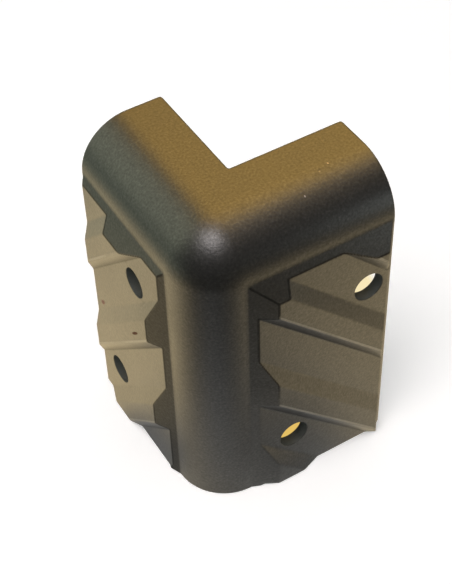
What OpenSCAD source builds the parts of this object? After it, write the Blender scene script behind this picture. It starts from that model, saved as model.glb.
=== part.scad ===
// Three-way corner protector for a speaker cabinet: one moulded shell that wraps
// the cabinet's top corner, with a rounded post, two stepped side faces and an
// L-shaped top. The outer corner stands at the front left, the legs run back.

/* [Overall] */
// Length of each leg, from the side face to the leg's far end
leg_l = 60; // [54:1:72]
// Height of the corner, from its foot to the top
height = 100; // [92:1:110]
// Width of the two arms of the top
arm_w = 25.5; // [22:0.5:30]
// Radius of the rounded outer edges and of the corner ball
edge_r = 15; // [12:0.5:18]

/* [Walls] */
// Wall at the screw lands and behind the raised bands
land_wall = 3.5; // [2.5:0.1:4.5]
// Wall of the top
top_wall = 3; // [2:0.1:4]
// Radius of the rounded inner edges
inner_r = 14; // [12:0.5:16]

/* [Stepped side faces] */
// Height of the screw lands above the side plane
land_h = 1.1; // [0.6:0.1:1.6]
// Height of the raised bands above the side plane
band_h = 3.2; // [2.4:0.1:4]
// Angle at which the bands fall away from the post
fall_angle = 45; // [42:0.2:49]
// Pitch of the bands, measured down the post
pitch = 35.5; // [33:0.5:40]
// Length of the ramp above a raised band, down the post
ramp_l = 5.9; // [3:0.1:7]
// Length of a raised band, down the post
band_l = 8.8; // [7:0.2:11]
// Length of the step below a raised band, down the post
step_l = 3.8; // [2:0.1:6]
// Drop of the first screw land's middle below the top rounding
land_drop = 0.5; // [-1:0.1:2]
// Width of the sloping margin along the post, up to the bands
post_margin = 7.5; // [5:0.1:9]
// Height of the sloping margin under the top rounding
top_margin = 7.9; // [6:0.1:10]
// Plain strip at the far end of each leg
end_strip = 0.7; // [0.4:0.1:1.5]
// Width of the bevel between the plain strip and the bands
end_bevel = 2.6; // [1.5:0.1:4]

/* [Screw holes] */
// Diameter of the screw holes
hole_d = 9; // [6:0.1:11]
// Distance of the screw holes below the middle of their lands
hole_drop = 0.4; // [0:0.1:2]
// Distances of the left face's upper and lower hole from the right side plane
left_hole_at = [31.2, 47.5];
// Distances of the right face's upper and lower hole from the left side plane
right_hole_at = [52, 28.8];

/* [Corner radii] */
// Radius at the bottom far corner of each leg
foot_r = 1; // [0.5:0.5:5]
// Radius at the inner end corners of the top arms
arm_r = 0.7; // [0.3:0.1:3]
// Radius in the notch between the top arms
notch_r = 0.6; // [0.4:0.2:3]

/* [Hidden] */
$fn = 96;
over = 1;
seat = land_wall - land_h;
round_top = height - edge_r;
land_l = pitch - ramp_l - band_l - step_l;
lean = cos(fall_angle);
reach = height + leg_l;
first = -3;
last = ceil((height + leg_l) / pitch);
// Screw land of each hole, counted down from the land nearest the top rounding
left_land = [0, 1];
right_land = [0, 2];
centre = (leg_l - band_h) / 2;

// Middle of a screw land, measured down the post from the end of the top rounding
function land_mid(phase, n) = land_drop + (phase + n) * pitch;

// Height of a screw hole that lies along a leg on a screw land
function hole_z(phase, n, along) =
    round_top - land_mid(phase, n) - hole_drop - tan(fall_angle) * (along - edge_r);

// Outline of the bands in the plane across them, deep enough to join the body
function band_outline(phase) = concat(
    [[(land_mid(phase, last) + land_l / 2) * lean, -edge_r]],
    [[(land_mid(phase, first) + land_l / 2) * lean, -edge_r]],
    [for (n = [first : last - 1], p = [
        [0, land_h],
        [ramp_l, band_h],
        [ramp_l + band_l, band_h],
        [ramp_l + band_l + step_l, land_h]
    ]) [(land_mid(phase, n) + land_l / 2 + p[0]) * lean, p[1]]],
    [[(land_mid(phase, last) + land_l / 2) * lean, land_h]]
);

// Bands of one face as a long prism, falling away from the post
module band_prism(phase) {
    translate([edge_r, 0, round_top])
        rotate([180, 90 + fall_angle, 0])
            linear_extrude(2 * reach, center = true)
                polygon(band_outline(phase));
}

// Margins along the post and at the leg's far end, as a prism that stands on z
module post_prism(foot) {
    far = leg_l - end_strip;
    translate([0, 0, foot])
        linear_extrude(height)
            polygon([
                [edge_r, edge_r],
                [edge_r, 0],
                [edge_r + post_margin, -band_h],
                [far - end_bevel, -band_h],
                [far, 0],
                [far, edge_r]
            ]);
}

// Margin under the top rounding, as a prism that lies along the leg
module top_prism(foot) {
    rotate([90, 0, 90])
        linear_extrude(leg_l)
            polygon([
                [edge_r, round_top],
                [0, round_top],
                [-band_h, round_top - top_margin],
                [-band_h, foot],
                [edge_r, foot]
            ]);
}

// Stepped relief of the face that looks towards -y
module relief(phase, foot = 0) {
    intersection() {
        band_prism(phase);
        post_prism(foot);
        top_prism(foot);
    }
}

// Relief of both faces, moved inwards by a wall for the hollow behind it. The
// right face's bands start half a pitch higher than the left face's.
module both_reliefs(foot = 0, inset = 0) {
    translate([0, inset, 0]) relief(-0.5, foot);
    mirror([1, -1, 0]) translate([0, inset, 0]) relief(0, foot);
}

// Block with three rounded edges that meet in a ball at its upper front corner
module rounded_block(side, top, r, length, foot) {
    mid = side + r;
    high = top - r;
    translate([mid, mid, high]) sphere(r);
    translate([mid, mid, foot]) cylinder(h = high - foot, r = r);
    translate([mid, mid, high]) rotate([0, 90, 0]) cylinder(h = length - mid, r = r);
    translate([mid, mid, high]) rotate([-90, 0, 0]) cylinder(h = length - mid, r = r);
    translate([mid, mid, foot]) cube([length - mid, length - mid, top - foot]);
    translate([mid, side, foot]) cube([length - mid, r, high - foot]);
    translate([side, mid, foot]) cube([r, length - mid, high - foot]);
}

// Opening between the top arms, with its inner corner rounded
module notch() {
    side = leg_l + over - arm_w;
    translate([arm_w, arm_w, -over])
        linear_extrude(height + 2 * over) {
            translate([notch_r, notch_r]) circle(notch_r);
            translate([notch_r, 0]) square([side - notch_r, side]);
            translate([0, notch_r]) square([side, side - notch_r]);
        }
}

// Sliver that rounds an outer corner at the origin, along z
module corner_trim(r, length) {
    linear_extrude(length)
        difference() {
            translate([-r, -r]) square(r + over);
            translate([-r, -r]) circle(r);
        }
}

// Rounding of the far bottom corner of the leg that runs along x
module foot_trim() {
    translate([leg_l, leg_l, 0])
        rotate([90, 0, 0])
            mirror([0, 1, 0])
                corner_trim(foot_r, leg_l + 2 * band_h);
}

// Rounding of the inner end corner of the top arm that runs along x
module arm_trim() {
    translate([leg_l, arm_w, -over]) corner_trim(arm_r, height + 2 * over);
}

// Screw holes of the face that looks towards -y
module screw_holes(places, lands, phase) {
    for (i = [0 : len(places) - 1])
        translate([places[i], edge_r, hole_z(phase, lands[i], places[i])])
            rotate([90, 0, 0])
                cylinder(h = edge_r + band_h + over, d = hole_d);
}

// The one moulded piece, cored out behind the raised bands
module corner_shell() {
    color([0.11, 0.11, 0.11])
        translate([-centre, -centre, 0])
            difference() {
                union() {
                    rounded_block(0, height, edge_r, leg_l, 0);
                    both_reliefs();
                }
                rounded_block(seat, height - top_wall, inner_r, leg_l + over, -over);
                both_reliefs(-over, land_wall);
                notch();
                foot_trim();
                arm_trim();
                mirror([1, -1, 0]) foot_trim();
                mirror([1, -1, 0]) arm_trim();
                screw_holes(right_hole_at, right_land, -0.5);
                mirror([1, -1, 0]) screw_holes(left_hole_at, left_land, 0);
            }
}

corner_shell();
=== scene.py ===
"""Moulded corner protector of a speaker cabinet, built and dressed in Blender.

The corner is one black plastic moulding: a rounded post, two side faces with
diagonal raised bands, four screw holes and an L-shaped top. Its mesh is worked
out from the same sizes as the solid model, with the small moulded radii that
soften every crease and rim.

The moulding's sizes are in millimetres in the corner's own frame, which has the
sharp outer corner on the z axis. They become metres in the shared frame when the
mesh is made. Camera, lamps, floor and specks are placed in the shared frame.
"""
from __future__ import annotations

import logging
import math
from collections.abc import Callable, Sequence
from dataclasses import dataclass, field
from enum import Enum
from typing import Union

import bmesh
import bpy
import numpy as np
from mathutils import Matrix, Vector

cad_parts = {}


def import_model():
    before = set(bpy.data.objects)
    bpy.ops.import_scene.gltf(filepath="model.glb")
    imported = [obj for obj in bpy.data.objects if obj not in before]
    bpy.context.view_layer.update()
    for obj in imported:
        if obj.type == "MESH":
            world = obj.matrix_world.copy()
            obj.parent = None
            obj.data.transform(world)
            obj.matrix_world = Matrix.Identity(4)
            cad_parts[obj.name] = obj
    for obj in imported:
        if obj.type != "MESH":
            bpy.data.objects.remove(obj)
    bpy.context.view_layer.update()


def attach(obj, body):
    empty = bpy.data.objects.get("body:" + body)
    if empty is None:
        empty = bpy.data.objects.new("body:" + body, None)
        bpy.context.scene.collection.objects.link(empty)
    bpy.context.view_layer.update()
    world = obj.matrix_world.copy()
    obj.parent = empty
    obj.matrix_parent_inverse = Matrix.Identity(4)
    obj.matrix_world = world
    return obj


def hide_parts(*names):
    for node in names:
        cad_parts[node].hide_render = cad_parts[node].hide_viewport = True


LOG = logging.getLogger("corner")
METRE = 0.001
TINY = 1e-9
# Angles of the rows of vertices that round an edge.
ROUND_ROWS = np.radians((30, 60, 90))
# The inner skin uses every second station of the outer one.
INNER_STRIDE = 2

Array = np.ndarray
Colour = tuple[float, float, float]
Place = tuple[float, float, float]
# Values at which a share is nought and one, in this order.
Span = tuple[float, float]
Output = bpy.types.NodeSocket
Socket = Union[Output, float, Colour]


class Face(Enum):
    """Side faces of the corner, with the phase of their bands in pitches."""

    LEFT = 0.0
    RIGHT = -0.5

    def place(self, along: Array, depth: Array, height: Array) -> Array:
        """Place points given along the leg, behind the side plane and above the feet."""
        x, y = (along, depth) if self is Face.RIGHT else (depth, along)
        return np.stack(np.broadcast_arrays(x, y, height), axis=-1)


class Side(Enum):
    """Skins of the moulding."""

    OUTER = "outer"
    INNER = "inner"


def passage(value: Array, span: Span) -> Array:
    """Give a value's straight passage from nought to one over a span."""
    low, high = span
    return np.clip((value - low) / (high - low), 0, 1)


def stretch(value: Array, settled: float, start: float, goal: float) -> Array:
    """Stretch values past the settled place, so that the start moves to its goal."""
    share = (value - settled) / (start - settled)
    return np.where(share > 0, settled + share * (goal - settled), value)


def round_corner(first: Array, second: Array, middle: Sequence[float], ways: Sequence[int],
                 most: float = math.inf, fade: Span | None = None) -> tuple[Array, Array]:
    """Move the points of a corner onto circles round its middle.

    Args:
        first: first coordinates.
        second: second coordinates.
        middle: middle of the rounding.
        ways: which way the corner lies from it, each 1 or -1.
        most: largest circle.
        fade: circle that doesn't move yet and circle that moves in full.

    Returns:
        The moved coordinates.
    """
    a, b = ways[0] * (first - middle[0]), ways[1] * (second - middle[1])
    reach = np.maximum(a, b)
    share = np.minimum(reach, most) / np.maximum(np.hypot(a, b), TINY)
    if fade is not None:
        share = 1 - passage(reach, fade) * (1 - share)
    beyond = (a > 0) & (b > 0)
    first = np.where(beyond, middle[0] + ways[0] * a * share, first)
    return first, np.where(beyond, middle[1] + ways[1] * b * share, second)


def soft_ramp(value: Array, soft: float) -> Array:
    """Give a ramp that rises one to one above nought, with its foot rounded."""
    rounded = (value + soft) ** 2 / (4 * soft)
    return np.where(value < -soft, 0.0, np.where(value > soft, value, rounded))


def soft_least(first: Array, second: Array, soft: float) -> Array:
    """Give the lesser of two heights, with the crease between them rounded.

    Args:
        first: heights of one surface.
        second: heights of the other.
        soft: difference in height over which the crease is rounded.

    Returns:
        The rounded lesser height, never under nought for heights over it.
    """
    width = np.minimum(soft, np.maximum(first, second)) + TINY
    share = np.clip(width - np.abs(first - second), 0, None) / width
    return np.minimum(first, second) - share ** 2 * width / 4


@dataclass(frozen=True)
class BodySizes:
    """Main sizes of the moulding."""

    leg: float = 60.0
    height: float = 100.0
    arm: float = 25.5
    edge_radius: float = 15.0
    inner_radius: float = 14.0
    seat: float = 2.4
    top_wall: float = 3.0
    foot_radius: float = 1.0
    arm_radius: float = 0.7
    notch_radius: float = 0.6
    rim: float = 0.45

    @property
    def round_top(self) -> float:
        """Height at which the top rounding starts."""
        return self.height - self.edge_radius


@dataclass(frozen=True)
class BandRelief:
    """Diagonal raised bands of a side face and the margins that frame them."""

    body: BodySizes = BodySizes()
    land_height: float = 1.1
    band_height: float = 3.2
    fall_angle: float = 45.0
    pitch: float = 35.5
    ramp: float = 5.9
    band: float = 8.8
    step: float = 3.8
    land_drop: float = 0.5
    post_margin: float = 7.5
    top_margin: float = 7.9
    end_strip: float = 0.7
    end_bevel: float = 2.6
    crease: float = 0.3
    margin_crease: float = 0.3
    frame_crease: float = 0.15
    hollow_crease: float = 0.12

    @property
    def centre(self) -> float:
        """Distance of the shared frame's origin behind the side planes."""
        return (self.body.leg - self.band_height) / 2

    @property
    def fall(self) -> float:
        """Tangent of the angle at which the bands fall away."""
        return math.tan(math.radians(self.fall_angle))

    @property
    def lean(self) -> float:
        """Share of a length down the post that lies across the bands."""
        return math.cos(math.radians(self.fall_angle))

    @property
    def land(self) -> float:
        """Length of a screw land, down the post."""
        return self.pitch - self.ramp - self.band - self.step

    def land_middle(self, face: Face, number: int) -> float:
        """Give how far down the post a screw land's middle lies below the top rounding."""
        return self.land_drop + (face.value + number) * self.pitch

    def across(self, drop: Array, face: Face) -> Array:
        """Give the height of the bands without their margins.

        Args:
            drop: drops below the top rounding, carried back to the post.
            face: side face that carries the bands.

        Returns:
            The height above the side plane at each drop.
        """
        lift = self.band_height - self.land_height
        ramp, band, step = (length * self.lean for length in (self.ramp, self.band, self.step))
        brow, foot = ramp + band, ramp + band + step
        bends = ((0.0, lift / ramp), (ramp, -lift / ramp), (brow, -lift / step), (foot, lift / step))
        first = math.floor(float(drop.min()) / self.pitch) - 2
        last = math.ceil(float(drop.max()) / self.pitch) + 2
        height = np.full_like(drop, self.land_height)
        for number in range(first, last):
            past = (drop - self.land_middle(face, number) - self.land / 2) * self.lean
            for place, slope in bends:
                height += slope * soft_ramp(past - place, self.crease)
        return height

    def slopes(self, along: Array, up: Array, face: Face) -> tuple[Array, ...]:
        """Give the heights of the surfaces that bound the relief.

        Args:
            along: distances along the leg.
            up: heights above the feet.
            face: side face.

        Returns:
            The margins at the post, under the top and at the end, and the bands.
        """
        body = self.body
        from_post = along - body.edge_radius
        below = body.round_top - up
        far = body.leg - self.end_strip - along
        post = self.band_height / self.post_margin * soft_ramp(from_post, self.margin_crease)
        top = self.band_height / self.top_margin * soft_ramp(below, self.margin_crease)
        end = self.band_height / self.end_bevel * soft_ramp(far, self.crease)
        return post, top, end, self.across(below - self.fall * from_post, face)

    def height(self, along: Array, up: Array, face: Face) -> Array:
        """Give the relief's height above the side plane, nought on the roundings.

        Args:
            along: distances along the leg.
            up: heights above the feet.
            face: side face.

        Returns:
            The height at each place.
        """
        post, top, end, bands = self.slopes(along, up, face)
        frame = soft_least(soft_least(post, top, self.frame_crease), end, self.frame_crease)
        return soft_least(frame, bands, self.frame_crease)


@dataclass(frozen=True)
class ReliefLightAndShade:
    """Painted highlight and painted shade on the relief, with spans in millimetres.

    A line's span is the distance from its middle or the difference in height of
    the surfaces that meet there. Towards its foot the right face loses the painted
    shade on its margin and its dark lines.
    """

    relief: BandRelief
    margin_lead: Span = (0.0, 0.08)
    margin_start: Span = (0.08, 0.16)
    brow_middle: float = -0.35
    brow_line: Span = (0.56, 0.21)
    # Painted shade on the steps' slopes.
    step_end: float = 0.35
    step_shade_most: float = 0.8
    band_edge: Span = (-0.05, 0.05)
    border_line: Span = (0.21, 0.06)
    mitre_line: Span = (0.28, 0.08)
    line_start: Span = (0.0, 0.3)
    # The painted shade on the right face's margin fades towards its foot.
    right_margin_most: float = 0.45
    right_margin_rise: Span = (35.0, 60.0)
    right_line_rise: Span = (36.0, 46.0)

    def margins(self, along: Array, up: Array, face: Face) -> Array:
        """Tell the margins along the post and at the end, which get painted shade, from the rest.

        Args:
            along: distances along the leg.
            up: heights above the feet.
            face: side face.

        Returns:
            A share at each place, 1 on the margins.
        """
        post, top, end, bands = self.relief.slopes(along, up, face)
        by_post = np.minimum(np.minimum(top, end), bands) - post
        by_end = np.minimum(np.minimum(top, post), bands) - end
        beside_post = passage(by_post, self.margin_lead) * passage(post, self.margin_start)
        at_end = passage(by_end, self.margin_lead) * passage(end, self.margin_start)
        if face is Face.RIGHT:
            # Painted shade on the right face's post margin, fading towards its foot.
            beside_post *= np.minimum(passage(up, self.right_margin_rise), self.right_margin_most)
        return np.maximum(beside_post, at_end)

    def steps(self, along: Array, up: Array, face: Face) -> Array:
        """Tell the steps' brows, which get a painted highlight, from their slopes and the dark lines,
        which get painted shade.

        The dark lines are the mitre of two margins and the bands' border.

        Args:
            along: distances along the leg.
            up: heights above the feet.
            face: side face.

        Returns:
            A share at each place, 1 on the brows, -1 on the lines, 0 on plain faces.
        """
        relief, body = self.relief, self.relief.body
        post, top, end, bands = relief.slopes(along, up, face)
        near = np.minimum(post, top)
        drop = body.round_top - up - relief.fall * (along - body.edge_radius)
        brow = relief.land_middle(face, 0) + relief.land / 2 + relief.ramp + relief.band
        half = relief.pitch / 2
        past = ((drop - brow + half) % relief.pitch - half) * relief.lean
        foot = relief.step * relief.lean
        # Painted highlight along the steps' brows.
        brow_highlight = passage(np.abs(past - self.brow_middle), self.brow_line)
        # Painted shade on the steps' slopes.
        slope = passage(past, (0.0, foot)) * passage(past, (foot + self.step_end, foot))
        banded = passage(np.minimum(near, end) - bands, self.band_edge)
        # Painted shade along the mitre and the bands' border.
        mitre = (1 - banded) * passage(np.abs(post - top), self.mitre_line)
        lines = np.maximum(mitre, passage(np.abs(near - bands), self.border_line))
        lines *= passage(near, self.line_start) * passage(end - near, self.line_start)
        if face is Face.RIGHT:
            lines *= passage(up, self.right_line_rise)
        return banded * (brow_highlight - self.step_shade_most * slope) - lines


@dataclass(frozen=True)
class ScrewHole:
    """Round hole through a side face, just below the middle of a screw land.

    The apron is a block of cells round it, which rings of faces fill. Each ring
    lies at a share of the way from the hole's lip to the block's border.
    """

    face: Face
    along: float
    land: int
    below_middle: float = 0.4
    radius: float = 4.5
    lip: float = 0.14
    apron: float = 1.2
    rings: tuple[float, ...] = (0.8, 0.6, 0.4, 0.2, 0.08, 0.0)

    def height(self, relief: BandRelief) -> float:
        """Give the height of the hole's centre above the feet."""
        drop = relief.land_middle(self.face, self.land) + self.below_middle
        return relief.body.round_top - drop - relief.fall * (self.along - relief.body.edge_radius)


@dataclass(frozen=True)
class Stations:
    """Places of the skins' columns and rows, shared by both skins.

    A cell is about as high as the bands fall over its width, so that the
    creases of the bands run along the cells' diagonals.
    """

    body: BodySizes
    arm_cells: int = 26
    leg_cells: int = 88
    wall_cells: int = 216
    arc_cells: int = 24

    def across_arm(self) -> Array:
        """Give the stations from the rounding to the arm's free edge."""
        body = self.body
        return np.linspace(body.edge_radius, body.arm - body.rim, self.arm_cells + 1)

    def along(self) -> Array:
        """Give the stations from the post to the leg's far end."""
        arm, far = self.across_arm(), self.body.leg - self.body.rim
        return np.append(arm, np.linspace(arm[-1], far, self.leg_cells + 1)[1:])

    def up(self) -> Array:
        """Give the heights from the feet to the top rounding."""
        return np.linspace(self.body.rim, self.body.round_top, self.wall_cells + 1)

    def angles(self) -> Array:
        """Give the angles of a rounding, from the side face upwards."""
        return np.linspace(0, math.pi / 2, self.arc_cells + 1)


@dataclass
class SkinPatch:
    """Vertices and faces of one mesh under construction."""

    points: list[Array] = field(default_factory=list)
    faces: list[tuple[int, ...]] = field(default_factory=list)
    count: int = 0

    def add(self, points: Array) -> Array:
        """Add vertices.

        Args:
            points: their places, with the three coordinates last.

        Returns:
            Their numbers, in the same arrangement.
        """
        shape = points.shape[:-1]
        amount = int(np.prod(shape))
        self.points.append(points.reshape(-1, 3))
        self.count += amount
        return np.arange(self.count - amount, self.count).reshape(shape)

    def cells(self, numbers: Array, keep: Array, rising: Array) -> None:
        """Add the cells of a grid, each cut along one of its diagonals.

        Args:
            numbers: vertex numbers by column and row.
            keep: which cells to add, by column and row.
            rising: which cells to cut upwards, against the fall of the bands.
        """
        low, right, high, far = numbers[:-1, :-1], numbers[1:, :-1], numbers[:-1, 1:], numbers[1:, 1:]
        falling_cut = (low, right, high), (right, far, high)
        rising_cut = (low, right, far), (low, far, high)
        for chosen, triangles in ((keep & ~rising, falling_cut), (keep & rising, rising_cut)):
            for triangle in triangles:
                corners = np.stack([corner[chosen] for corner in triangle], axis=-1)
                self.faces += map(tuple, corners.tolist())

    def strip(self, fine: Array, coarse: Array) -> None:
        """Join two closed rows of vertices.

        Args:
            fine: one row.
            coarse: the other row, with as many vertices or a half or a third of them.
        """
        ratio = len(fine) // len(coarse)
        for i, number in enumerate(coarse):
            span = [int(fine[(ratio * i + j) % len(fine)]) for j in range(ratio + 1)]
            self.faces.append((int(number), *span, int(coarse[(i + 1) % len(coarse)])))


@dataclass
class SkinGrid:
    """Grid over one skin: left face, post, right face, roundings and top.

    Columns run from the post to a leg's far end. Rows run up the side face,
    over the top rounding and across the arm of the top. A cell is cut against
    the fall of the bands where that lies nearer the relief by the least gain.
    """

    side: Side
    relief: BandRelief
    mesh: SkinPatch
    stride: int = 1
    settle_along: float = 7.0
    settle_down: float = 8.0
    least_gain: float = 0.005

    def __post_init__(self) -> None:
        """Take the skin's stations and add its vertices."""
        self.body = body = self.relief.body
        outer = self.side is Side.OUTER
        self.radius = body.edge_radius if outer else body.inner_radius
        self.middle = body.edge_radius if outer else body.seat + body.inner_radius
        self.crown = body.height if outer else body.height - body.top_wall
        self.shoulder = self.crown - self.radius
        shared = Stations(body)
        self.stations = (shared.along(), shared.up())
        self.along, self.up = (values[::self.stride] for values in self.stations)
        self.columns, self.rows = self.shifted_along(self.along), self.shifted_up(self.up)
        self.angles = shared.angles()[::self.stride]
        self.arm = shared.arm_cells // self.stride
        self.walls = shared.wall_cells // self.stride
        self.brow = self.walls + shared.arc_cells // self.stride
        self.first = self.mesh.count
        self.legs = {Face.RIGHT: self.mesh.add(self.leg_points(Face.RIGHT))}
        self.legs[Face.LEFT] = self.left_leg()
        self.post = self.post_columns()

    def shifted_along(self, value: Array) -> Array:
        """Carry stations from the outer skin to this one, near the post."""
        start = self.body.edge_radius
        return stretch(value, start + self.settle_along, start, self.middle)

    def shifted_up(self, value: Array) -> Array:
        """Carry heights from the outer skin to this one, near the rounding."""
        start = self.body.round_top
        return stretch(value, start - self.settle_down, start, self.shoulder)

    def rounded_foot(self, along: Array, up: Array) -> tuple[Array, Array]:
        """Round the leg's bottom far corner on a side face."""
        leg, radius = self.body.leg, self.body.foot_radius
        return round_corner(along, up, (leg - radius, radius), (1, -1), radius - self.body.rim)

    def rounded_arm(self, along: Array, over: Array) -> tuple[Array, Array]:
        """Move points of the top to round the arm's end and the notch.

        Args:
            along: distances along the leg.
            over: distances over the top from the side plane.

        Returns:
            The moved distances.
        """
        body = self.body
        tip = (body.leg - body.arm_radius, body.arm - body.arm_radius)
        notch, reach = body.arm + body.notch_radius, body.notch_radius + body.rim
        along, over = round_corner(along, over, tip, (1, 1))
        return round_corner(along, over, (notch, notch), (-1, -1), fade=(3 * reach, reach))

    def raised(self, face: Face, along: Array, up: Array) -> Array:
        """Give how far the skin stands out from its plain form.

        Args:
            face: side face.
            along: distances along the leg.
            up: heights above the feet.

        Returns:
            The height at each place. The inner skin follows the raised bands alone.
        """
        height = self.relief.height(along, up, face)
        if self.side is Side.OUTER:
            return height
        return soft_ramp(height - self.relief.land_height, self.relief.hollow_crease)

    def face_points(self, face: Face, along: Array, up: Array) -> Array:
        """Give points of a side face, on the relief."""
        depth = self.middle - self.radius
        return face.place(along, depth - self.raised(face, along, up), up)

    def leg_points(self, face: Face) -> Array:
        """Give the points of a leg's side face, top rounding and arm of the top.

        Args:
            face: side face.

        Returns:
            The points, by column and row.
        """
        along, up = np.meshgrid(self.columns, self.rows, indexing="ij")
        walls = self.face_points(face, *self.rounded_foot(along, up))
        along, angle = np.meshgrid(self.columns, self.angles[1:], indexing="ij")
        out = self.radius + self.raised(face, along, self.body.round_top + self.radius * np.sin(angle))
        arcs = face.place(along, self.middle - out * np.cos(angle), self.shoulder + out * np.sin(angle))
        grid = np.meshgrid(self.columns, self.columns[1:self.arm + 1], indexing="ij")
        along, over = self.rounded_arm(*grid)
        arm = face.place(along, over, np.full_like(along, self.crown))
        return np.concatenate((walls, arcs, arm), axis=1)

    def left_leg(self) -> Array:
        """Add the left leg's vertices, with the top's corner square shared.

        Returns:
            Their numbers, by column and row.
        """
        right, points = self.legs[Face.RIGHT], self.leg_points(Face.LEFT)
        numbers = np.zeros_like(right)
        numbers[:, :self.brow] = self.mesh.add(points[:, :self.brow])
        numbers[self.arm + 1:, self.brow:] = self.mesh.add(points[self.arm + 1:, self.brow:])
        numbers[:self.arm + 1, self.brow:] = right[:self.arm + 1, self.brow:].T
        return numbers

    def post_columns(self) -> Array:
        """Add the vertices of the post and the ball.

        Returns:
            Their numbers, by column round the post and row.
        """
        turn, lift = np.meshgrid(self.angles[1:-1], self.angles[:-1], indexing="ij")
        ball = self.post_points(turn, lift, np.full_like(turn, self.shoulder))
        turn, foot = np.meshgrid(self.angles[1:-1], self.rows[:-1], indexing="ij")
        shaft = self.post_points(turn, np.zeros_like(turn), foot)
        numbers = np.zeros((len(self.angles), self.brow + 1), dtype=int)
        numbers[1:-1, :-1] = self.mesh.add(np.concatenate((shaft, ball), axis=1))
        numbers[0] = self.legs[Face.LEFT][0, :self.brow + 1]
        numbers[-1] = self.legs[Face.RIGHT][0, :self.brow + 1]
        numbers[:, -1] = numbers[-1, -1]
        return numbers

    def post_points(self, turn: Array, lift: Array, foot: Array) -> Array:
        """Give points of the post and the ball.

        Args:
            turn: angles round the post, from the left face.
            lift: angles up the ball.
            foot: heights of the middles of the arcs.

        Returns:
            The points in the corner's frame.
        """
        reach = self.radius * np.cos(lift)
        x = self.middle - reach * np.cos(turn)
        y = self.middle - reach * np.sin(turn)
        return np.stack((x, y, foot + self.radius * np.sin(lift)), axis=-1)

    def build(self, holes: Sequence[ScrewHole]) -> None:
        """Add the skin's faces, with rings of faces round each hole.

        Args:
            holes: screw holes of both faces.
        """
        for face, numbers in self.legs.items():
            keep = np.ones((numbers.shape[0] - 1, numbers.shape[1] - 1), dtype=bool)
            for hole in holes:
                if hole.face is face:
                    left, right, low, high = self.block(hole)
                    keep[left:right, low:high] = False
            if face is Face.LEFT:
                keep[:self.arm, self.brow:] = False
            rising = np.zeros_like(keep)
            rising[:, :self.walls] = self.rising_cells(face)
            self.mesh.cells(numbers, keep, rising)
        shaft = self.post[:, :-1]
        keep = np.ones((shaft.shape[0] - 1, shaft.shape[1] - 1), dtype=bool)
        self.mesh.cells(shaft, keep, ~keep)
        pole = int(self.post[0, -1])
        for first, second in zip(self.post[:-1, -2], self.post[1:, -2]):
            self.mesh.faces.append((int(first), int(second), pole))

    def rising_cells(self, face: Face) -> Array:
        """Tell the cells of a side face whose crease runs against the bands' fall.

        Args:
            face: side face.

        Returns:
            A mark for each cell, by column and row.
        """
        edges = (self.columns, self.rows)
        middles = [(values[1:] + values[:-1]) / 2 for values in edges]
        grids = (np.meshgrid(*stations, indexing="ij") for stations in (edges, middles))
        corners, middle = (self.raised(face, *grid) for grid in grids)
        falling = np.abs((corners[1:, :-1] + corners[:-1, 1:]) / 2 - middle)
        rising = np.abs((corners[:-1, :-1] + corners[1:, 1:]) / 2 - middle)
        return rising < falling - self.least_gain

    def block(self, hole: ScrewHole) -> tuple[int, int, int, int]:
        """Give the first and last column and row of the cells round a hole.

        Args:
            hole: screw hole.

        Returns:
            The four numbers, which match those of the other skin.
        """
        half = hole.radius + hole.apron
        spots = []
        for values, middle in zip(self.stations, (hole.along, hole.height(self.relief))):
            for edge in (middle - half, middle + half):
                nearest = int(np.argmin(np.abs(values[::INNER_STRIDE] - edge)))
                spots.append(nearest * INNER_STRIDE // self.stride)
        return tuple(spots)

    def bore_row(self, hole: ScrewHole) -> Array:
        """Fill the cells round a hole and turn its rim into the bore.

        Args:
            hole: screw hole.

        Returns:
            Numbers of the closed row of vertices where the bore starts.
        """
        left, right, low, high = self.block(hole)
        border = [(c, low) for c in range(left, right)] + [(right, r) for r in range(low, high)]
        border += [(c, high) for c in range(right, left, -1)] + [(left, r) for r in range(high, low, -1)]
        columns, rows = np.array(border).T
        middle = np.array([hole.along, hole.height(self.relief)])
        edge = np.stack((self.along[columns], self.up[rows]), axis=-1)
        away = (edge - middle) / np.linalg.norm(edge - middle, axis=1, keepdims=True)
        rim = middle + (hole.radius + hole.lip) * away
        rings = [self.face_points(hole.face, *(rim + (edge - rim) * share).T) for share in hole.rings]
        depth = rings[-1][:, 1 if hole.face is Face.RIGHT else 0]
        inward = 1 if self.side is Side.OUTER else -1
        for angle in ROUND_ROWS:
            spots = middle + (hole.radius + hole.lip * (1 - math.sin(angle))) * away
            sunk = depth + inward * hole.lip * (1 - math.cos(angle))
            rings.append(hole.face.place(spots[:, 0], sunk, spots[:, 1]))
        row = self.legs[hole.face][columns, rows]
        for ring in rings:
            inner = self.mesh.add(ring)
            self.mesh.strip(row, inner)
            row = inner
        return row

    def border(self) -> Array:
        """Give the closed row of vertices along the skin's free edge.

        Returns:
            Their numbers, along the feet first and then back over the legs' ends.
        """
        left, right = self.legs[Face.LEFT], self.legs[Face.RIGHT]
        feet = [left[:0:-1, 0], self.post[:-1, 0], right[:-1, 0]]
        tops = [right[-1, :-1], right[:self.arm:-1, -1], left[self.arm:-1, -1], left[-1, :0:-1]]
        return np.concatenate(feet + tops)


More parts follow.
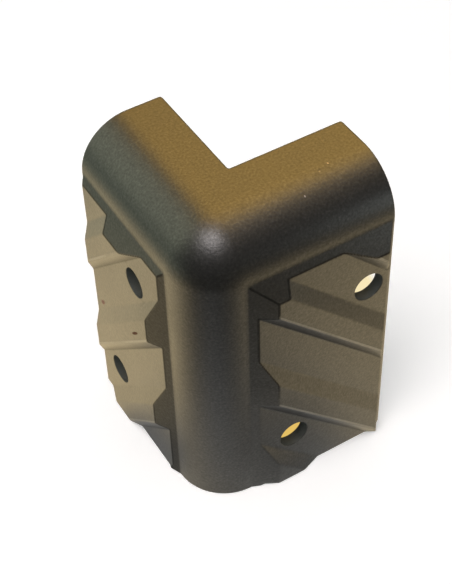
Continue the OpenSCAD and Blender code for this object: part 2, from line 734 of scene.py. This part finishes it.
@dataclass
class CornerShell:
    """The moulded corner: two skins, the rim that joins them and the holes."""

    relief: BandRelief = BandRelief()
    holes: tuple[ScrewHole, ...] = (
        ScrewHole(Face.LEFT, 31.2, 0),
        ScrewHole(Face.LEFT, 47.5, 1),
        ScrewHole(Face.RIGHT, 52.0, 0),
        ScrewHole(Face.RIGHT, 28.8, 2),
    )
    name: str = "corner_moulding"

    def build(self, material: bpy.types.Material) -> bpy.types.Object:
        """Build the moulding's mesh and put it in place of its solid.

        Args:
            material: finish of the moulding.

        Returns:
            The finished object.
        """
        patch = SkinPatch()
        outer = SkinGrid(Side.OUTER, self.relief, patch)
        inner = SkinGrid(Side.INNER, self.relief, patch, INNER_STRIDE)
        for skin in (outer, inner):
            skin.build(self.holes)
        inside = list(range(inner.first, patch.count))
        for hole in self.holes:
            front, start = outer.bore_row(hole), patch.count
            patch.strip(front, inner.bore_row(hole))
            inside += [*front.tolist(), *range(start, patch.count)]
        self.join_rim(patch, outer.border(), inner.border())
        piece = self.to_object(patch, inside)
        piece.data.materials.append(material)
        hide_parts("corner_shell")
        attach(piece, "root")
        return piece

    def join_rim(self, patch: SkinPatch, outer: Array, inner: Array) -> None:
        """Add the moulding's free edge, rounded where it meets both skins.

        Args:
            patch: mesh under construction.
            outer: closed row of the outer skin's border.
            inner: the same row of the inner skin.
        """
        points = np.concatenate(patch.points)
        ratio = len(outer) // len(inner)
        front = self.edge_rows(patch, points[outer], points[np.repeat(inner, ratio)])
        back = self.edge_rows(patch, points[inner], points[outer[::ratio]])
        rows = [outer, *front, *reversed(back), inner]
        for first, second in zip(rows, rows[1:]):
            patch.strip(first, second)

    def edge_rows(self, patch: SkinPatch, own: Array, other: Array) -> list[Array]:
        """Make the rows of vertices that round one edge of the rim.

        Args:
            patch: mesh under construction.
            own: border of the skin that the edge belongs to.
            other: border of the other skin.

        Returns:
            The rows' numbers, from the skin to the rim.
        """
        tangent = np.roll(own, -1, axis=0) - np.roll(own, 1, axis=0)
        outward = np.cross(tangent, own - other)
        outward /= np.linalg.norm(outward, axis=1, keepdims=True)
        on_the_feet = 5
        outward *= -np.sign(outward[on_the_feet, 2])
        normal = np.cross(outward, tangent)
        normal /= np.linalg.norm(normal, axis=1, keepdims=True)
        normal *= np.sign(np.sum(normal * (own - other), axis=1, keepdims=True))
        steps = [(math.sin(angle) * outward - (1 - math.cos(angle)) * normal) for angle in ROUND_ROWS]
        return [patch.add(own + self.relief.body.rim * step) for step in steps]

    def to_object(self, patch: SkinPatch, inside: list[int]) -> bpy.types.Object:
        """Make the object of a finished patch, smooth and facing outwards.

        Args:
            patch: finished mesh, in millimetres.
            inside: vertices of the hollow side and of the bores.

        Returns:
            The object, linked to the scene.
        """
        centre = self.relief.centre
        points = (np.concatenate(patch.points) - (centre, centre, 0)) * METRE
        mesh = bpy.data.meshes.new(self.name)
        mesh.from_pydata(points.tolist(), [], patch.faces)
        work = bmesh.new()
        work.from_mesh(mesh)
        bmesh.ops.recalc_face_normals(work, faces=work.faces)
        work.to_mesh(mesh)
        work.free()
        mesh.shade_smooth()
        mesh.validate()
        hidden = np.zeros(len(mesh.vertices))
        hidden[inside] = 1
        self.mark(mesh, "inside", hidden)
        painted_light_and_shade = ReliefLightAndShade(self.relief)
        # Store the shares of the painted shade on the margins and of the painted highlight and shade on
        # the steps.
        for name, share in (("margin", painted_light_and_shade.margins), ("painted_light_and_shade", painted_light_and_shade.steps)):
            self.mark(mesh, name, self.shares(np.concatenate(patch.points), share) * (1 - hidden))
        piece = bpy.data.objects.new(self.name, mesh)
        bpy.context.scene.collection.objects.link(piece)
        return piece

    @staticmethod
    def mark(mesh: bpy.types.Mesh, name: str, values: Array) -> None:
        """Store one value for each vertex, for the material to read."""
        data = mesh.attributes.new(name, "FLOAT", "POINT").data
        data.foreach_set("value", values.astype(np.float32))

    @staticmethod
    def shares(points: Array, share: Callable[..., Array]) -> Array:
        """Give a share of the relief at the vertices that stand out on it.

        Args:
            points: places of the vertices, in millimetres.
            share: gives the share at places on a side face.

        Returns:
            The share at each vertex, nought off both side faces.
        """
        found = np.zeros(len(points))
        for face, (along, depth) in {Face.LEFT: (1, 0), Face.RIGHT: (0, 1)}.items():
            here = share(points[:, along], points[:, 2], face)
            found += np.where(points[:, depth] < 0, here, 0)
        return found


@dataclass
class NodeSheet:
    """Short forms for the nodes of one material or world."""

    tree: bpy.types.NodeTree

    def node(self, kind: str, **settings: object) -> bpy.types.Node:
        """Add a node.

        Args:
            kind: Blender's name of the node.
            settings: values of the node's own properties.

        Returns:
            The new node.
        """
        made = self.tree.nodes.new(kind)
        for name, value in settings.items():
            setattr(made, name, value)
        return made

    def feed(self, socket: Output, value: Socket) -> None:
        """Link a socket to another node's output, or set its value.

        Args:
            socket: input of a node.
            value: output of another node, number, colour or place.
        """
        if isinstance(value, Output):
            self.tree.links.new(value, socket)
        elif isinstance(value, tuple) and socket.type == "RGBA":
            socket.default_value = (*value, 1)
        else:
            socket.default_value = value

    def add(self, kind: str, *values: Socket, **settings: object) -> Output:
        """Add a node that has one result.

        Args:
            kind: Blender's name of the node.
            values: what its inputs in use get, in their order.
            settings: values of the node's own properties.

        Returns:
            The first output in use.
        """
        made = self.node(kind, **settings)
        for socket, value in zip([one for one in made.inputs if one.enabled], values):
            self.feed(socket, value)
        return next(one for one in made.outputs if one.enabled)

    def math(self, operation: str, *values: Socket) -> Output:
        """Work out a sum of one or two values."""
        return self.add("ShaderNodeMath", *values, operation=operation)

    def total(self, start: float, *parts: tuple[Socket, float]) -> Output:
        """Add values up.

        Args:
            start: number to start from.
            parts: values, each with its weight.

        Returns:
            The sum.
        """
        result = start
        for value, weight in parts:
            result = self.math("ADD", result, self.math("MULTIPLY", value, weight))
        return result

    def ease(self, value: Socket, span: Span) -> Output:
        """Give the smooth passage of a value from nought to one over a span."""
        return self.add("ShaderNodeMapRange", value, *span, interpolation_type="SMOOTHSTEP")

    def distance(self, place: Socket, other: Place = (0.0, 0.0, 0.0)) -> Output:
        """Measure how far a place is from another, or else from the origin."""
        return self.add("ShaderNodeVectorMath", place, other, operation="DISTANCE")

    def blend(self, share: Socket, first: Socket, second: Socket) -> Output:
        """Mix two colours, with the share of the second."""
        return self.add("ShaderNodeMix", share, first, second, data_type="RGBA")

    def place(self) -> Output:
        """Read the place on the object, in metres."""
        return self.node("ShaderNodeTexCoord").outputs["Object"]

    def mark(self, name: str) -> Output:
        """Read a value that the mesh stores for each vertex."""
        return self.node("ShaderNodeAttribute", attribute_name=name).outputs["Fac"]


@dataclass(frozen=True)
class SurfaceNoise:
    """Noise over the surface, in cycles a metre, with the bump that it can make."""

    scale: float
    detail: float
    depth: float = 0.0
    strength: float = 0.0

    def share(self, sheet: NodeSheet, place: Socket) -> Output:
        """Add the noise and give its share at each place."""
        return sheet.add("ShaderNodeTexNoise", place, self.scale, self.detail)

    def bump(self, sheet: NodeSheet, share: Socket, under: Socket | None = None) -> Output:
        """Let the noise stand out.

        Args:
            sheet: nodes of the material.
            share: the noise.
            under: normal that the bump lies on, if it isn't the surface's own.

        Returns:
            The bumped normal.
        """
        made = sheet.node("ShaderNodeBump")
        sheet.feed(made.inputs["Strength"], self.strength)
        sheet.feed(made.inputs["Distance"], self.depth)
        sheet.feed(made.inputs["Height"], share)
        if under is not None:
            sheet.feed(made.inputs["Normal"], under)
        return made.outputs["Normal"]


@dataclass(frozen=True)
class Speck:
    """Small mark on the surface, as an ellipsoid that tints what lies in it.

    Place and size are in metres, the turn about the x axis is in degrees, and
    matt is the share of the gloss that it takes away.
    """

    place: Place
    size: Place
    tone: Colour
    matt: float = 0.0
    turn: float = 0.0
    edge: Span = (1.2, 0.7)

    def share(self, sheet: NodeSheet, place: Socket) -> Output:
        """Give how much of the speck lies at each place.

        Args:
            sheet: nodes of the material.
            place: place on the surface.

        Returns:
            1 within the speck and 0 outside it, with a soft edge.
        """
        turn = (math.radians(self.turn), 0.0, 0.0)
        local = sheet.add("ShaderNodeMapping", place, self.place, turn, self.size, vector_type="TEXTURE")
        return sheet.ease(sheet.distance(local), self.edge)


@dataclass(frozen=True)
class MouldedPlastic:
    """Black satin plastic with the fine grain of a spark-eroded mould.

    The grain breaks up the gloss, and a little dust lies in it. The steps' brows
    carry a painted highlight in a lighter base colour. Their slopes, the mitre
    lines and the margins carry painted shade, with their gloss turned down, and
    the unpolished inside is paler and matt.
    """

    colour: Colour = (0.0115, 0.0115, 0.0105)
    grain: SurfaceNoise = SurfaceNoise(1500.0, 3.0, depth=0.00008, strength=0.6)
    peel: SurfaceNoise = SurfaceNoise(600.0, 2.0, depth=0.00004, strength=0.4)
    cloud: SurfaceNoise = SurfaceNoise(55.0, 4.0)
    # Painted highlight along the steps' brows, as a lighter base colour.
    brow_highlight: Colour = (0.17, 0.16, 0.13)
    brow_highlight_most: float = 0.7
    brow_highlight_span: Span = (0.3, 0.9)
    brow_highlight_cloud: Span = (0.2, 0.6)
    dust: Colour = (0.07, 0.066, 0.056)
    dust_most: float = 0.1
    dust_grain: Span = (0.55, 0.75)
    unpolished: Colour = (0.062, 0.067, 0.06)
    ior: float = 1.5
    gloss: float = 0.2
    gloss_grain: float = 0.6
    # Painted shade on the steps' slopes and the dark lines: their gloss is turned down.
    crease_shade_span: Span = (0.0, -1.0)
    crease_shade_most: float = 0.9
    # Painted shade on the margins: their gloss is turned down.
    margin_dulling: float = 0.68
    inside_dulling: float = 0.88
    roughness: float = 0.39
    roughness_cloud: float = 0.08
    roughness_inside: float = 0.25
    specks: tuple[Speck, ...] = (
        Speck((-0.0295, 0.0259, 0.0393), (0.004, 0.0008, 0.0018), (0.12, 0.045, 0.045), 0.9, 45.0),
        Speck((-0.0316, 0.0013, 0.0505), (0.004, 0.0005, 0.0028), (0.05, 0.012, 0.008), 0.98, 45.0),
        Speck((0.01925, -0.01489, 0.0999), (0.00024, 0.00028, 0.0003), (0.22, 0.16, 0.1)),
        Speck((0.01592, -0.01614, 0.09972), (0.0003, 0.00022, 0.0003), (0.1, 0.08, 0.06)),
        Speck((0.00868, -0.02046, 0.09821), (0.00022, 0.0003, 0.0004), (0.2, 0.18, 0.17)),
    )
    name: str = "black_plastic"

    def build(self) -> bpy.types.Material:
        """Make the material.

        Returns:
            The material, with its nodes.
        """
        material = bpy.data.materials.new(self.name)
        material.use_nodes = True
        sheet = NodeSheet(material.node_tree)
        shader = material.node_tree.nodes["Principled BSDF"]
        shader.inputs["IOR"].default_value = self.ior
        inside, margin, painted_light_and_shade = (sheet.mark(name) for name in ("inside", "margin", "painted_light_and_shade"))
        place = sheet.place()
        noises = (self.grain, self.peel, self.cloud)
        grain, peel, cloud = (noise.share(sheet, place) for noise in noises)
        marks = [(speck, speck.share(sheet, place)) for speck in self.specks]
        settled = sheet.math("MULTIPLY", sheet.ease(grain, self.dust_grain), self.dust_most)
        # Painted highlight: the base colour is lightened along the steps' brows.
        highlight_share, patchy = sheet.ease(painted_light_and_shade, self.brow_highlight_span), sheet.ease(cloud, self.brow_highlight_cloud)
        painted_highlight = sheet.math("MULTIPLY", sheet.math("MULTIPLY", highlight_share, patchy), self.brow_highlight_most)
        tone = sheet.blend(settled, self.colour, self.dust)
        tone = sheet.blend(painted_highlight, tone, self.brow_highlight)
        for speck, share in marks:
            tone = sheet.blend(share, tone, speck.tone)
        sheet.feed(shader.inputs["Base Color"], sheet.blend(inside, tone, self.unpolished))
        # Painted shade: the gloss is turned down on the steps' slopes and the dark lines.
        dulled = [(sheet.ease(painted_light_and_shade, self.crease_shade_span), self.crease_shade_most)]
        # Painted shade on the margins; the inside's dulling is its own matt finish.
        dulled += [(margin, self.margin_dulling), (inside, self.inside_dulling)]
        dulled += [(share, speck.matt) for speck, share in marks if speck.matt]
        shine = sheet.total(self.gloss, (grain, self.gloss_grain))
        for share, most in dulled:
            shine = sheet.math("MULTIPLY", shine, sheet.total(1.0, (share, -most)))
        sheet.feed(shader.inputs["Specular IOR Level"], shine)
        uneven = (cloud, self.roughness_cloud), (inside, self.roughness_inside)
        sheet.feed(shader.inputs["Roughness"], sheet.total(self.roughness, *uneven))
        peeled = self.peel.bump(sheet, peel)
        sheet.feed(shader.inputs["Normal"], self.grain.bump(sheet, grain, peeled))
        return material


@dataclass(frozen=True)
class PhotoCamera:
    """Camera that stands where the photograph was taken from.

    Its place and its sensor are in millimetres, its focal length and its frame are
    in pixels of the photograph, and where it starts to see is in metres.
    """

    place: Place = (-135.99, -233.25, 339.04)
    forward: Place = (0.337634, 0.59335, -0.730711)
    right: Place = (0.854666, -0.51852, -0.026138)
    focal_px: float = 1412.6
    frame_height_px: float = 584.0
    sensor: float = 24.0
    clip_start: float = 0.01
    name: str = "photo_camera"

    def build(self) -> bpy.types.Object:
        """Make the camera and let the scene look through it.

        Returns:
            The camera object.
        """
        data = bpy.data.cameras.new(self.name)
        data.sensor_fit = "VERTICAL"
        data.sensor_height = self.sensor
        data.lens = self.focal_px * self.sensor / self.frame_height_px
        data.clip_start = self.clip_start
        camera = bpy.data.objects.new(self.name, data)
        forward = Vector(self.forward).normalized()
        right = Vector(self.right)
        right = (right - forward * right.dot(forward)).normalized()
        up = right.cross(forward)
        turn = Matrix((right, up, -forward)).transposed().to_4x4()
        camera.matrix_world = Matrix.Translation(Vector(self.place) * METRE) @ turn
        bpy.context.scene.collection.objects.link(camera)
        bpy.context.scene.camera = camera
        return camera


class Reach(Enum):
    """What a soft lamp lights."""

    ALL = "the object's colour and its gloss"
    GLOSS = "the gloss alone, as a card held up for the reflections"


@dataclass(frozen=True)
class SoftLamp:
    """Round soft lamp that faces the corner.

    The bearing is measured from the x axis towards the y axis, the rise from
    the floor upwards, both in degrees. Width, distance and aim are in metres.
    """

    name: str
    bearing: float
    rise: float
    width: float
    radiance: Colour
    reach: Reach = Reach.GLOSS
    distance: float = 1.2
    aim: Place = (0.0, 0.0, 0.06)

    def build(self) -> None:
        """Make the lamp."""
        data = bpy.data.lights.new(self.name, "AREA")
        data.shape = "DISK"
        data.size = self.width
        brightest = max(self.radiance)
        data.color = [part / brightest for part in self.radiance]
        area = math.pi * (self.width / 2) ** 2
        data.energy = brightest * math.pi * area
        lamp = bpy.data.objects.new(self.name, data)
        bearing, lift = math.radians(self.bearing), math.radians(self.rise)
        level = math.cos(lift)
        away = Vector((math.cos(bearing) * level, math.sin(bearing) * level, math.sin(lift)))
        lamp.location = Vector(self.aim) + away * self.distance
        lamp.rotation_euler = away.to_track_quat("Z", "Y").to_euler()
        lamp.visible_camera = False
        lamp.visible_diffuse = self.reach is Reach.ALL
        bpy.context.scene.collection.objects.link(lamp)


@dataclass(frozen=True)
class HoleGlow:
    """Painted light: a glowing patch on the bit of floor that the camera sees through a screw hole.

    The spot and the edge's distances from it are in metres.
    """

    spot: Place
    tone: Colour
    edge: Span = (0.014, 0.01)

    def glow_patch(self, sheet: NodeSheet, floor: Socket, seen: Socket) -> Output:
        """Add the glowing patch to the floor.

        Args:
            sheet: nodes of the floor's material.
            floor: shader of the floor so far.
            seen: 1 for the camera's own rays.

        Returns:
            The floor's shader with the glowing patch.
        """
        near = sheet.ease(sheet.distance(sheet.place(), self.spot), self.edge)
        # Painted light: an emission that only the camera's rays see.
        glow_patch = sheet.add("ShaderNodeEmission", self.tone)
        return sheet.add("ShaderNodeMixShader", sheet.math("MULTIPLY", near, seen), floor, glow_patch)


@dataclass(frozen=True)
class GlossTableGlow:
    """Floor that glows for the gloss with the tones of a table: painted light.

    It is warm beside and behind the corner and dark in front of it, where the
    dark is painted shade, with pale patches at the post's foot. Spans are in metres
    from the frame's origin.
    """

    near: Colour = (2.42, 1.94, 1.15)
    far_left: Colour = (0.66, 0.8, 0.62)
    far_right: Colour = (0.1, 0.085, 0.06)
    front_near: Colour = (1.08, 1.1, 1.1)
    # Painted shade: the table is dark in front of the corner.
    front_shade: Colour = (0.05, 0.045, 0.03)
    foot_left: Colour = (0.67, 0.66, 0.63)
    foot_right: Colour = (0.55, 0.54, 0.51)
    foot_right_near: Colour = (0.95, 0.93, 0.87)
    beside_x: Span = (-0.045, 0.075)
    beside_y: Span = (-0.055, 0.03)
    distance: Span = (0.1, 0.255)
    leftward: Span = (-0.1, 0.1)
    front: Span = (0.03, 0.11)
    foot_right_out: Span = (0.045, 0.03)
    patch_left: tuple[Span, Span] = ((0.05, 0.035), (0.024, 0.006))
    patch_right: tuple[Span, Span] = ((0.068, 0.0476), (0.03, 0.0075))

    def tone(self, sheet: NodeSheet) -> Output:
        """Give the table's tone at each place of the floor.

        Args:
            sheet: nodes of the floor's material.

        Returns:
            The colour.
        """
        place = sheet.place()
        parts = sheet.node("ShaderNodeSeparateXYZ")
        sheet.feed(parts.inputs[0], place)
        x, y, _ = parts.outputs
        out = sheet.math("MULTIPLY", sheet.math("MINIMUM", x, y), -1.0)
        leftward = sheet.ease(sheet.math("SUBTRACT", y, x), self.leftward)
        far = sheet.blend(leftward, self.far_right, self.far_left)
        warm = sheet.blend(sheet.ease(sheet.distance(place), self.distance), self.near, far)
        front = sheet.blend(sheet.ease(out, self.front), self.front_near, self.front_shade)
        beside = sheet.math("MAXIMUM", sheet.ease(x, self.beside_x), sheet.ease(y, self.beside_y))
        tone = sheet.blend(beside, front, warm)
        right = sheet.blend(sheet.ease(out, self.foot_right_out), self.foot_right, self.foot_right_near)
        patches = (x, self.patch_right, right), (y, self.patch_left, self.foot_left)
        for along, (reach, width), shade in patches:
            apart = sheet.math("ABSOLUTE", along)
            share = sheet.math("MULTIPLY", sheet.ease(out, reach), sheet.ease(apart, width))
            tone = sheet.blend(share, tone, shade)
        return tone


@dataclass
class Studio:
    """Pale floor, white surroundings and soft lamps."""

    lamps: tuple[SoftLamp, ...] = (
        SoftLamp("key_lamp", -150, 68, 0.62, (9.0, 8.5, 8.4), Reach.ALL),
        SoftLamp("key_glow", -125, 65, 0.52, (10.2, 9.6, 9.8)),
        SoftLamp("warm_ceiling_card", 48, 56, 1.22, (6.6, 3.95, 0.85)),
        SoftLamp("pale_ceiling_card", -8, 66, 0.5, (2.6, 2.2, 1.6)),
        SoftLamp("window_card", 132, 29, 1.3, (2.1, 2.25, 1.65)),
        SoftLamp("near_card", -62, 2, 0.04, (2.8, 3.0, 2.9), distance=0.08, aim=(0.036, -0.028, 0.087)),
    )
    glows: tuple[HoleGlow, ...] = (
        HoleGlow((0.0084, -0.0155, 0.0), (0.78, 0.52, 0.13)),
        HoleGlow((0.053, 0.024, 0.0), (0.94, 0.8, 0.48)),
    )
    table_glow: GlossTableGlow = GlossTableGlow()
    surroundings: float = 0.42
    white: Colour = (1.0, 1.0, 1.0)
    dim_room: Colour = (0.08, 0.08, 0.075)
    floor_colour: Colour = (0.9, 0.9, 0.89)
    floor_lift: float = 0.3
    floor_reach: float = 3.0

    def build(self) -> None:
        """Make the floor, the world and the lamps."""
        bpy.context.scene.view_settings.view_transform = "Standard"
        self.build_world()
        self.build_floor()
        for lamp in self.lamps:
            lamp.build()

    def build_world(self) -> None:
        """Make the world: white to the camera, a dim room to the gloss."""
        world = bpy.data.worlds.new("white_studio")
        bpy.context.scene.world = world
        world.use_nodes = True
        sheet = NodeSheet(world.node_tree)
        path = sheet.node("ShaderNodeLightPath")
        room = world.node_tree.nodes["Background"]
        room.inputs["Color"].default_value = (*self.white, 1)
        room.inputs["Strength"].default_value = self.surroundings
        dim, white = (sheet.add("ShaderNodeBackground", tone) for tone in (self.dim_room, self.white))
        seen = sheet.add("ShaderNodeMixShader", path.outputs["Is Glossy Ray"], room.outputs[0], dim)
        seen = sheet.add("ShaderNodeMixShader", path.outputs["Is Camera Ray"], seen, white)
        sheet.feed(world.node_tree.nodes["World Output"].inputs["Surface"], seen)

    def build_floor(self) -> None:
        """Make the floor, which keeps the corner's shadow."""
        half = self.floor_reach
        mesh = bpy.data.meshes.new("floor")
        corners = [(-half, -half, 0), (half, -half, 0), (half, half, 0), (-half, half, 0)]
        mesh.from_pydata(corners, [], [(0, 1, 2, 3)])
        floor = bpy.data.objects.new("floor", mesh)
        bpy.context.scene.collection.objects.link(floor)
        mesh.materials.append(self.floor_paint())

    def floor_paint(self) -> bpy.types.Material:
        """Make the floor's material.

        The camera sees it pale, with the shadow and the glowing patches of painted
        light behind the holes. The gloss sees it glow with the table's painted light,
        with painted shade in front of the corner.

        Returns:
            The material, with its nodes.
        """
        paint = bpy.data.materials.new("floor_paint")
        paint.use_nodes = True
        sheet = NodeSheet(paint.node_tree)
        path = sheet.node("ShaderNodeLightPath")
        matt = paint.node_tree.nodes["Principled BSDF"]
        matt.inputs["Base Color"].default_value = (*self.floor_colour, 1)
        matt.inputs["Roughness"].default_value = 1
        matt.inputs["Specular IOR Level"].default_value = 0
        camera = path.outputs["Is Camera Ray"]
        lift = sheet.math("MULTIPLY", camera, self.floor_lift)
        lift = sheet.add("ShaderNodeEmission", self.white, lift)
        floor = sheet.add("ShaderNodeAddShader", matt.outputs[0], lift)
        for glow in self.glows:
            floor = glow.glow_patch(sheet, floor, camera)
        # Painted light: the floor glows for glossy rays with the table's tones.
        table_glow = sheet.add("ShaderNodeEmission", self.table_glow.tone(sheet))
        floor = sheet.add("ShaderNodeMixShader", path.outputs["Is Glossy Ray"], floor, table_glow)
        sheet.feed(paint.node_tree.nodes["Material Output"].inputs["Surface"], floor)
        return paint


def main() -> None:
    """Load the frame, build each piece in order and report it."""
    logging.basicConfig(level=logging.INFO, format="%(name)s: %(message)s")
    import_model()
    PhotoCamera().build()
    plastic = MouldedPlastic().build()
    shell = CornerShell().build(plastic)
    LOG.info("%s has %d faces", shell.name, len(shell.data.polygons))
    Studio().build()


if __name__ == "__main__":
    main()
